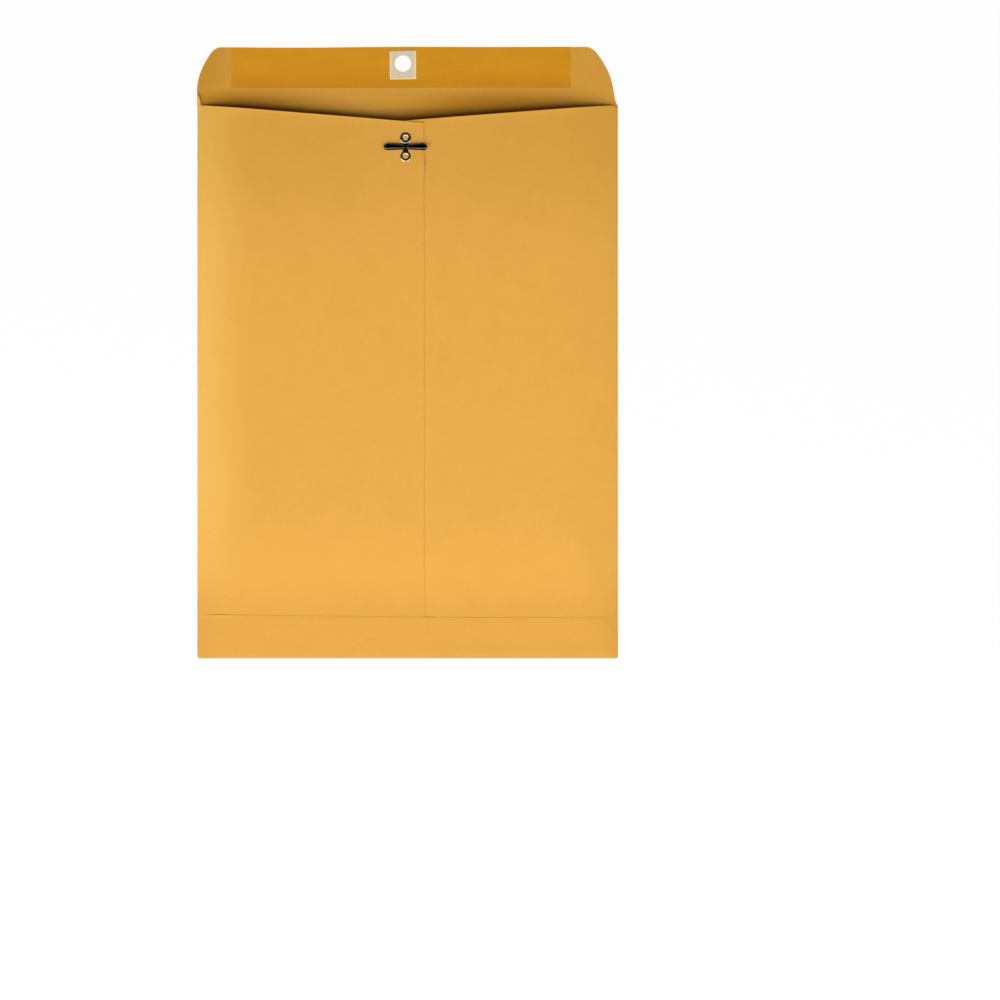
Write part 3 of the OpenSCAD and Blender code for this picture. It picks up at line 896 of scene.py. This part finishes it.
def patch_cutter(margin):
    """A closed block a little larger than the patch, turned as the patch is."""
    mesh = bpy.data.meshes.new("patch_cutter")
    shape = bmesh.new()
    bmesh.ops.create_cube(shape, size=1)
    bmesh.ops.scale(shape, vec=(PATCH_W + 2 * margin, PATCH_H + 2 * margin, 3 * MM), verts=shape.verts)
    cos, sin = math.cos(PATCH_TURN), math.sin(PATCH_TURN)
    turn = np.array([[cos, -sin], [sin, cos]])
    for v in shape.verts:
        v.co.x, v.co.y = turn @ np.array([v.co.x, v.co.y]) + np.array([PATCH_AT.x, PATCH_AT.y])
    shape.to_mesh(mesh)
    shape.free()
    return link("patch_cutter", mesh, [])


cut(gum, patch_cutter(PATCH_GAP))
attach(gum, "flap")
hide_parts("gum_strip")
tell(gum)

# %% [markdown]
# ## Hole patch
# A square of strong beige paper is glued round the hole, not quite straight. Its rim at the sides and bottom
# is painted paler, a painted highlight, and the hole is cut through patch and flap together.

# %% Hole patch
RIM_W = 0.6 * MM
RIM = [0, 0.25 * MM, RIM_W]
across = spread(-PATCH_W / 2, PATCH_W / 2, 0.8 * MM, near_start=RIM, near_end=RIM)[None, :]
along = spread(-PATCH_H / 2, PATCH_H / 2, 0.8 * MM, near_start=RIM, near_end=RIM)[:, None]
patch_x = PATCH_AT.x + across + 0 * along
patch_y = PATCH_AT.y + along + across * math.tan(PATCH_TURN) * (1 + 0.5 * along / PATCH_H)
round_off = 0.03 * MM * (1 - smooth(PATCH_W / 2 - np.abs(across), 0, 0.3 * MM))
off_crease = (along + 0.6 * MM - 0.05 * across) / (0.35 * MM)
crease = 0.02 * MM * np.exp(-off_crease ** 2) * smooth(-across, 4 * MM, 5 * MM)
patch = sheet("hole_patch_paper", patch_x, patch_y, patch_high.z - round_off + crease,
              patch_low.z + OFF_FLAP, [PATCH, PATCH_PAINTED_HIGHLIGHT])
# Faces at the sides and the bottom of the patch get the painted highlight.
for face in patch.data.polygons:
    aside = abs(face.center.x - PATCH_AT.x)
    below = PATCH_AT.y - face.center.y
    face.material_index = int(aside > PATCH_W / 2 - RIM_W or below > PATCH_H / 2 - RIM_W)
cut(patch, round_cutter(HOLE_AT, HOLE_R))
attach(patch, "flap")
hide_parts("hole_patch")
tell(patch)

# %% [markdown]
# ## Clasp base
# The base is a stamped plate with two round ends under the claw rings and a folded post in the middle. A
# flat curve with two round holes fills itself, and its extrusion and bevel give the rolled edge of stamped
# steel. It is drawn in millimetres, where Blender fills small outlines safely, and then scaled.

# %% Clasp sizes
upper_low, upper_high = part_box("upper_ring")
lower_low, lower_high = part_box("lower_ring")
RING_T = 0.3 * MM
PLATE_TOP = upper_high.z - RING_T
PLATE_T = PLATE_TOP - LEFT_TOP
UPPER_AT = Vector(((upper_low.x + upper_high.x) / 2, (upper_low.y + upper_high.y) / 2, PLATE_TOP))
LOWER_AT = Vector(((lower_low.x + lower_high.x) / 2, (lower_low.y + lower_high.y) / 2, PLATE_TOP))
UPPER_D = upper_high.x - upper_low.x
LOWER_D = lower_high.x - lower_low.x
CLASP_AT = (UPPER_AT + LOWER_AT) / 2
OVERHANG = 0.3 * MM
NECK_MM = 1.65
BORE_R = 1.5 * MM
print(f"clasp rings {1000 * (UPPER_AT.y - LOWER_AT.y):.1f} mm apart")

# %% Clasp plate
def arc(middle_y, radius, start, end, steps=30):
    """Points of an arc about a middle on the y axis, angles in degrees."""
    angles = np.radians(np.linspace(start, end, steps))
    return [(radius * math.cos(a), middle_y + radius * math.sin(a)) for a in angles]


def add_loop(curve, points):
    """A closed straight-sided loop of a flat curve."""
    spline = curve.splines.new("POLY")
    spline.points.add(len(points) - 1)
    for point, place in zip(spline.points, points):
        point.co = (place[0], place[1], 0, 1)
    spline.use_cyclic_u = True


def clasp_plate():
    """Mesh of the plate, in metres, in its place."""
    half_pitch = 1000 * (UPPER_AT.y - LOWER_AT.y) / 2
    upper_r = 1000 * (UPPER_D / 2 - OVERHANG)
    lower_r = 1000 * (LOWER_D / 2 - OVERHANG)
    upper_turn = math.degrees(math.asin(NECK_MM / upper_r))
    lower_turn = math.degrees(math.asin(NECK_MM / lower_r))
    curve = bpy.data.curves.new("clasp_plate", "CURVE")
    curve.dimensions = "2D"
    curve.fill_mode = "BOTH"
    rim = 0.06
    curve.extrude = 500 * PLATE_T - rim
    curve.bevel_depth = rim
    curve.bevel_resolution = 3
    curve.offset = -rim
    add_loop(curve, arc(half_pitch, upper_r, -90 + upper_turn, 270 - upper_turn)
             + arc(-half_pitch, lower_r, 90 + lower_turn, 450 - lower_turn))
    hole = 1000 * BORE_R + 0.35
    add_loop(curve, arc(half_pitch, hole, 0, 350, 36))
    add_loop(curve, arc(-half_pitch, hole, 0, 350, 36))
    drawn = bpy.data.objects.new("clasp_plate", curve)
    bpy.context.scene.collection.objects.link(drawn)
    graph = bpy.context.evaluated_depsgraph_get()
    mesh = bpy.data.meshes.new_from_object(drawn.evaluated_get(graph), depsgraph=graph)
    bpy.data.curves.remove(curve)
    points = np.array([v.co for v in mesh.vertices]) * MM
    points += np.array([CLASP_AT.x, CLASP_AT.y, LEFT_TOP + PLATE_T / 2])
    mesh.vertices.foreach_set("co", points.astype(np.float32).ravel())
    return mesh


plate_mesh = clasp_plate()
print("clasp plate points:", len(plate_mesh.vertices))

# %% Plate and post
def add_block(shape, middle, size, bevel):
    """A block with rounded edges in a bmesh."""
    made = bmesh.ops.create_cube(shape, size=1)
    corners = made["verts"]
    bmesh.ops.scale(shape, vec=size, verts=corners)
    bmesh.ops.translate(shape, vec=middle, verts=corners)
    edges = list({e for v in corners for e in v.link_edges})
    bmesh.ops.bevel(shape, geom=edges, offset=bevel, segments=3, profile=0.5, affect="EDGES")


left_axis = Vector(joints["left_prong_bend"]["pos_m"])
right_axis = Vector(joints["right_prong_bend"]["pos_m"])
base_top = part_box("clasp_base")[1].z
PRONG_T = 2 * (base_top - left_axis.z)
WAIST = 2.9 * MM
POST_W = 3.2 * MM
BEND_GAP = 0.15 * MM
post_top = left_axis.z - PRONG_T / 2 - BEND_GAP
web_w = right_axis.x - left_axis.x - PRONG_T - 2 * BEND_GAP
shape = bmesh.new()
shape.from_mesh(plate_mesh)
bmesh.ops.remove_doubles(shape, verts=shape.verts, dist=0.002 * MM)
post_z = (LEFT_TOP + post_top) / 2
add_block(shape, (CLASP_AT.x, CLASP_AT.y, post_z), (POST_W, WAIST, post_top - LEFT_TOP), 0.2 * MM)
web_z = (LEFT_TOP + base_top) / 2
add_block(shape, (CLASP_AT.x, CLASP_AT.y, web_z), (web_w, WAIST, base_top - LEFT_TOP), 0.12 * MM)
bmesh.ops.recalc_face_normals(shape, faces=shape.faces)
base_mesh = bpy.data.meshes.new("clasp_plate_and_post")
shape.to_mesh(base_mesh)
shape.free()
clasp_base = link("clasp_plate_and_post", base_mesh, [METAL])
soften(base_mesh)
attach(clasp_base, "pocket")
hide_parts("clasp_base")
tell(clasp_base)

# %% [markdown]
# ## Claw rings
# Each end of the clasp is held by a domed ring with claws that go through the paper and are bent over
# inside. A ring is one section swept round a circle, and its claws are one claw repeated, so both are a
# Geometry Nodes tree with the ring's sizes as inputs. The same tree makes both rings.

# %% Claw ring tree
def claw_ring_tree():
    """A domed ring on a plate, with claws bent outwards below it."""
    tree, start, given = new_tree("claw_ring", {
        "Diameter": "Float", "Bore": "Float", "Height": "Float", "Claw Width": "Float",
        "Claw Thickness": "Float", "Claw Drop": "Float", "Claw Foot": "Float",
        "Claws": "Int", "Middle": "Vector", "Metal": "Material"})
    across, bore, height, width, thick, fall, foot, count, middle, metal = given
    circle = "GeometryNodeCurvePrimitiveCircle"
    path = start.node(circle, {}, {"Resolution": 72, "Radius": (across + bore) * 0.25})
    flat = start.vector((across - bore) * 0.25, height, 1.0)
    section = start.node(circle, {}, {"Resolution": 24, "Radius": 1.0})
    section = start.node("GeometryNodeTransform", {}, {0: section, "Scale": flat})
    ring = start.node("GeometryNodeCurveToMesh", {}, {0: path, 1: section})
    place = start.node("GeometryNodeInputPosition")
    level = start.math("MAXIMUM", place.part(2), height * -0.1)
    seated = start.vector(place.part(0), place.part(1), level)
    ring = start.node("GeometryNodeSetPosition", {}, {0: ring, "Position": seated})
    leg = start.node("GeometryNodeMeshCube", {}, {"Size": start.vector(thick, width, fall)})
    leg_at = start.vector(z=fall * -0.5)
    leg = start.node("GeometryNodeTransform", {}, {0: leg, "Translation": leg_at})
    toe = start.node("GeometryNodeMeshCube", {}, {"Size": start.vector(foot + thick, width, thick)})
    toe_at = start.vector(x=foot * 0.5, z=thick * 0.5 - fall)
    toe = start.node("GeometryNodeTransform", {}, {0: toe, "Translation": toe_at})
    claw = start.node("GeometryNodeMeshBoolean", {"operation": "UNION"}, {1: [leg, toe]})
    spots = start.node("GeometryNodeMeshCircle", {}, {"Vertices": count, "Radius": (bore + thick) * 0.5})
    outwards = start.node("FunctionNodeAlignRotationToVector", {"axis": "X"}, {"Vector": place})
    claws = start.node("GeometryNodeInstanceOnPoints", {},
                       {"Points": spots, "Instance": claw, "Rotation": outwards})
    joined = start.node("GeometryNodeJoinGeometry", {}, {0: [ring, claws]})
    placed = start.node("GeometryNodeTransform", {}, {0: joined, "Translation": middle})
    real = start.node("GeometryNodeRealizeInstances", {}, {0: placed})
    done = start.node("GeometryNodeSetMaterial", {}, {0: real, 2: metal})
    start.node("NodeGroupOutput", {}, {0: done})
    return tree


RING_TREE = claw_ring_tree()
print("claw ring tree nodes:", len(RING_TREE.nodes))

# %% Both rings
CLAWS = 4
CLAW_W = 1.1 * MM
CLAW_T = 0.25 * MM
CLAW_FOOT = 0.9 * MM
CLAW_DROP = PLATE_TOP - upper_low.z
for name, node, middle, diameter in (("upper_claw_ring", "upper_ring", UPPER_AT, UPPER_D),
                                     ("lower_claw_ring", "lower_ring", LOWER_AT, LOWER_D)):
    ring = link(name, bpy.data.meshes.new(name), [])
    modifier = ring.modifiers.new("claw_ring", "NODES")
    modifier.node_group = RING_TREE
    set_inputs(modifier, {"Diameter": diameter, "Bore": 2 * BORE_R, "Height": RING_T, "Claw Width": CLAW_W,
                          "Claw Thickness": CLAW_T, "Claw Drop": CLAW_DROP, "Claw Foot": CLAW_FOOT,
                          "Claws": CLAWS, "Middle": middle, "Metal": RING_METAL})
    settle(ring)
    soften(ring.data)
    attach(ring, "pocket")
    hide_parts(node)
    tell(ring)

# %% [markdown]
# ## Prongs
# A prong is a half-round bar of soft steel with a rounded tip, a little narrower at the bend. It is lofted:
# a row of sections, each a flat underside and a crowned top, from the rolled bend to the tip. At the tip the
# sections shrink along a circle. Both prongs come from one function, and the left one is its mirror image.

# %% Prong section
TIP_W = 3.7 * MM
EDGE = 0.3 * MM
PRONG_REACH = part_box("right_prong")[1].x - right_axis.x


def prong_section(half_w, low, high, edge):
    """Closed section of a prong: crowned top from right to left, then the flat underside."""
    angles = np.linspace(0, math.pi, 19)
    crown = [(half_w * math.cos(a), low + edge + (high - low - edge) * math.sin(a) ** 2) for a in angles]
    soft = min(0.1 * MM, half_w * 0.4)
    flat = [(-half_w + 0.2 * soft, low + 0.35 * edge), (-half_w + soft, low)]
    flat += [(half_w * s, low) for s in (-0.4, 0, 0.4)]
    flat += [(half_w - soft, low), (half_w - 0.2 * soft, low + 0.35 * edge)]
    return crown + flat


print(f"prongs reach {1000 * PRONG_REACH:.1f} mm from their bends")

# %% Prong loft
BEND_HALF_W = 1.15 * MM
BEND_PINCH = 0.25 * MM


def prong(name, axis, side):
    """A prong whose bend lies on its axis and that points to one side."""
    half_t = PRONG_T / 2
    tip_x = PRONG_REACH - TIP_W / 2
    stations = []
    for turn in np.linspace(85, 10, 7):
        back = math.radians(turn)
        half_h = half_t * math.cos(back)
        stations.append((-half_t * math.sin(back), BEND_HALF_W, -half_h, half_h, half_h * 0.6))
    for share in np.linspace(0, 1, 15):
        half_w = (WAIST + (TIP_W - WAIST) * share) / 2 - BEND_PINCH * math.exp(-8 * share)
        stations.append((tip_x * share, half_w, -half_t, half_t, EDGE))
    for turn in np.linspace(8, 86, 11):
        close = math.cos(math.radians(turn))
        crown = half_t - (PRONG_T - EDGE) * (1 - close ** 0.7) * 0.8
        stations.append((tip_x + TIP_W / 2 * math.sin(math.radians(turn)), TIP_W / 2 * close, -half_t, crown,
                         EDGE * (0.5 + 0.5 * close)))
    shape = bmesh.new()
    rings = []
    for along, half_w, low, high, edge in stations:
        section = prong_section(half_w, low, high, edge)
        rings.append([shape.verts.new((axis.x + side * along, axis.y + v, axis.z + w)) for v, w in section])
    for first, second in zip(rings, rings[1:]):
        for i in range(len(first)):
            j = (i + 1) % len(first)
            shape.faces.new((first[i], first[j], second[j], second[i]))
    shape.faces.new(rings[0])
    shape.faces.new(rings[-1])
    bmesh.ops.recalc_face_normals(shape, faces=shape.faces)
    mesh = bpy.data.meshes.new(name)
    shape.to_mesh(mesh)
    shape.free()
    piece = link(name, mesh, [METAL])
    soften(mesh, 50)
    return piece


for name, body, axis, side in (("left_prong_bar", "left_prong", left_axis, -1),
                               ("right_prong_bar", "right_prong", right_axis, 1)):
    bar = prong(name, axis, side)
    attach(bar, body)
    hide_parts(body)
    tell(bar)

# %% [markdown]
# ## Floor and background
# The envelope lies on a plain white surface that runs out of the picture. The camera, mirrors and glass see
# it as nearly pure white, which a share of white emission on those rays gives. Other rays see plain white
# card, so the light that it throws back is real, and the soft shadow stays. The walls of the room follow the
# same rule and carry the white on past the horizon. The ceiling is dark, so that polished metal looks black.

# %% Floor
def seen_directly(start):
    """1 for camera, glossy and transmission rays, 0 for the others."""
    rays = [start.node("ShaderNodeLightPath", {}, {}, output=f"Is {kind} Ray")
            for kind in ("Camera", "Glossy", "Transmission")]
    return start.math("ADD", rays[0] + rays[1], rays[2], clamp=True)


FLOOR_HALF = 20.0
FLOOR_Z = -0.25 * MM
GLOW_SHARE = 0.92
CARD = (0.9, 0.9, 0.9, 1)
WHITE = (1, 1, 1, 1)
floor_mesh = bpy.data.meshes.new("floor")
corners = [(-1, -1), (1, -1), (1, 1), (-1, 1)]
floor_points = [(FLOOR_HALF * a, FLOOR_HALF * b, FLOOR_Z) for a, b in corners]
floor_mesh.from_pydata(floor_points, [], [(0, 1, 2, 3)])
white_card, start = new_material("white_card")
card = start.node("ShaderNodeBsdfDiffuse", {}, {"Color": CARD})
glow = start.node("ShaderNodeEmission", {}, {"Color": WHITE, "Strength": 1.0})
surface = start.node("ShaderNodeMixShader", {}, {0: seen_directly(start) * GLOW_SHARE, 1: card, 2: glow})
start.node("ShaderNodeOutputMaterial", {}, {"Surface": surface})
floor = link("floor", floor_mesh, [white_card])
floor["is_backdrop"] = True
print(f"floor {2 * FLOOR_HALF:.0f} m wide")

# %% World
WALLS = 0.6
WHITE_WALLS = 0.94
CEILING = 0.035
CEILING_FROM = 0.12
CEILING_FULL = 0.3


def background(start, strength):
    """A white background of this strength."""
    return start.node("ShaderNodeBackground", {}, {"Color": WHITE, "Strength": strength})


world = bpy.data.worlds.new("studio")
bpy.context.scene.world = world
world.use_nodes = True
world.node_tree.nodes.clear()
start = Wire(world.node_tree)
direction = start.node("ShaderNodeTexCoord", {}, {}, output="Generated")
seen = {0: seen_directly(start), 1: background(start, WALLS), 2: background(start, WHITE_WALLS)}
horizon = start.node("ShaderNodeMixShader", {}, seen)
above = direction.part(2).between(CEILING_FROM, CEILING_FULL)
room = start.node("ShaderNodeMixShader", {}, {0: above, 1: horizon, 2: background(start, CEILING)})
start.node("ShaderNodeOutputWorld", {}, {"Surface": room})
print("world ready, ceiling level", CEILING)

# %% [markdown]
# ## Lamps
# The paper gets brighter towards the bottom and the left, and the throat throws a soft shadow up the flap.
# So the main lamp is a soft box low at the lower left, with a weaker one at the lower right. The white room
# gives the rest. Together they light a level sheet about as brightly as its colour is written.

# %% Lamps
def soft_box(name, place, target, width, height, watts):
    """A rectangular lamp that faces a point."""
    lamp = bpy.data.lights.new(name, "AREA")
    lamp.shape = "RECTANGLE"
    lamp.size = width
    lamp.size_y = height
    lamp.energy = watts
    box = bpy.data.objects.new(name, lamp)
    box.location = place
    box.rotation_euler = (Vector(target) - Vector(place)).to_track_quat("-Z", "Y").to_euler()
    bpy.context.scene.collection.objects.link(box)
    return box


MIDDLE = (0, 0, 0)
soft_box("main_lamp", (-1.0, -1.25, 1.55), MIDDLE, width=2.2, height=2.2, watts=53.3)
soft_box("second_lamp", (0.9, -1.2, 1.4), MIDDLE, width=1.8, height=1.8, watts=30.8)

# %% [markdown]
# ## Camera
# The photograph looks straight down from far away, so a long lens is used and nothing leans. The picture is
# square: its width on the table and the place of its middle set the camera.

# %% Camera
PICTURE_W = 573.9 * MM
PICTURE_AT = (53.0 * MM, -84.6 * MM)
lens = bpy.data.cameras.new("camera")
lens.lens = 150
lens.sensor_width = 36
lens.clip_end = 50
camera = bpy.data.objects.new("camera", lens)
camera.location = (PICTURE_AT[0], PICTURE_AT[1], PICTURE_W * lens.lens / lens.sensor_width)
bpy.context.scene.collection.objects.link(camera)
bpy.context.scene.camera = camera
bpy.context.scene.view_settings.view_transform = "Standard"
print(f"camera {camera.location.z:.2f} m above the table")

# %% [markdown]
# ## Size
# The dressed envelope has to stay the size of the solid one, so both boxes are printed.

# %% Size and finish
visual_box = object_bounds()
for label, (low, high) in (("CAD", cad_box), ("dressed", visual_box)):
    print(label, "box in mm:", [round(1000 * (b - a), 2) for a, b in zip(low, high)])
